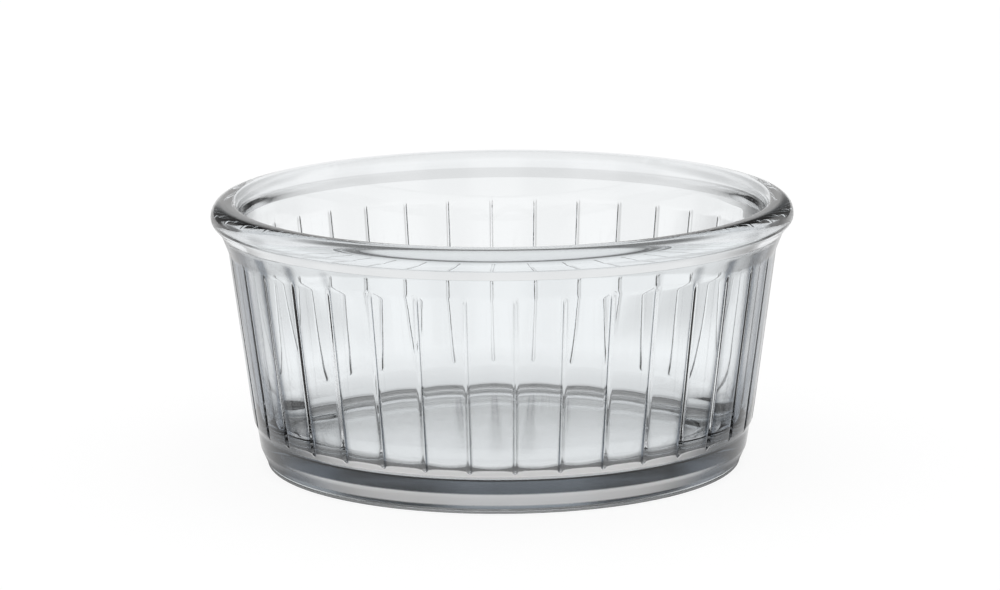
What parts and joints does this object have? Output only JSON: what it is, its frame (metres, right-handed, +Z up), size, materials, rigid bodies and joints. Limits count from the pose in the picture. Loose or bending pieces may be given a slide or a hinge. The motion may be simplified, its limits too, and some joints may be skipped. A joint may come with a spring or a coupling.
{
  "type": "ramekin",
  "caption": "Round ramekin of clear pressed glass with upright rounded flutes, a rounded lip, a plain heel and a low foot ring.",
  "frame": {"origin": "centre of the circle that the foot stands on", "axes": "+Z up along the dish's axis of symmetry; +X points to a groove between two flutes"},
  "size_m": [0.1, 0.1, 0.046],
  "materials": {
    "clear_glass": "clear, smooth and shiny"
  },
  "bodies": {
    "root": {"glass_dish": "clear_glass"}
  },
  "joints": []
}
